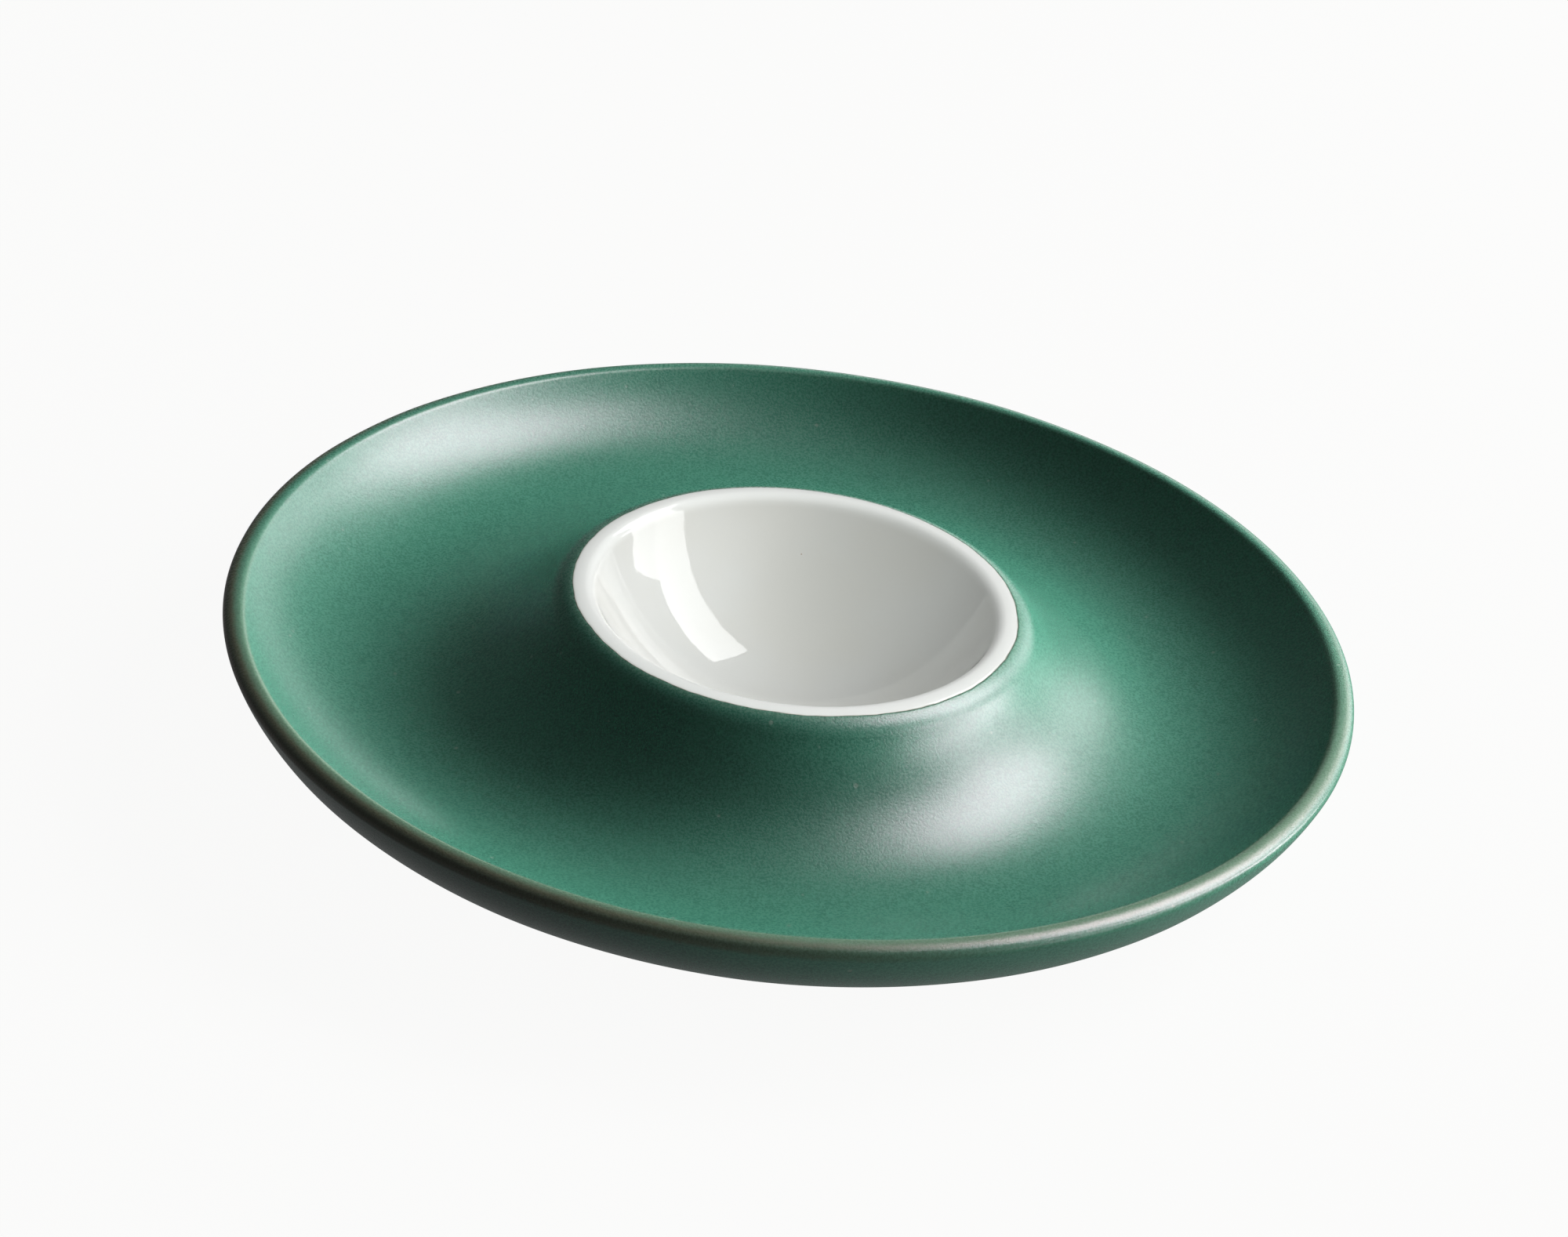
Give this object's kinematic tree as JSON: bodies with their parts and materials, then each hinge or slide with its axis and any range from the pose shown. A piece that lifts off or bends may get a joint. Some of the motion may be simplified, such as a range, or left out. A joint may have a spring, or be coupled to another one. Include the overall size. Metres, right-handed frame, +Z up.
{
  "type": "egg plate",
  "caption": "Round glazed stoneware plate with a shallow egg cup raised in its middle, satin green outside and gloss white in the cup, standing on a bare foot ring.",
  "frame": {"origin": "on the table, at the middle of the foot ring", "axes": "+Z up along the axis of the plate and its cup; X and Y lie in the table"},
  "size_m": [0.13, 0.13, 0.0187],
  "materials": {
    "bare_clay": "fired stoneware, matt and slightly gritty",
    "satin_green": "satin green glaze, finely mottled, thinner and paler along the rim",
    "gloss_white": "clear gloss white glaze with a few fine specks",
    "base_green": "satin green glaze inside the foot ring"
  },
  "bodies": {
    "root": {"stoneware_body": "bare_clay", "green_glaze": "satin_green", "white_glaze": "gloss_white", "base_glaze": "base_green"}
  },
  "joints": []
}
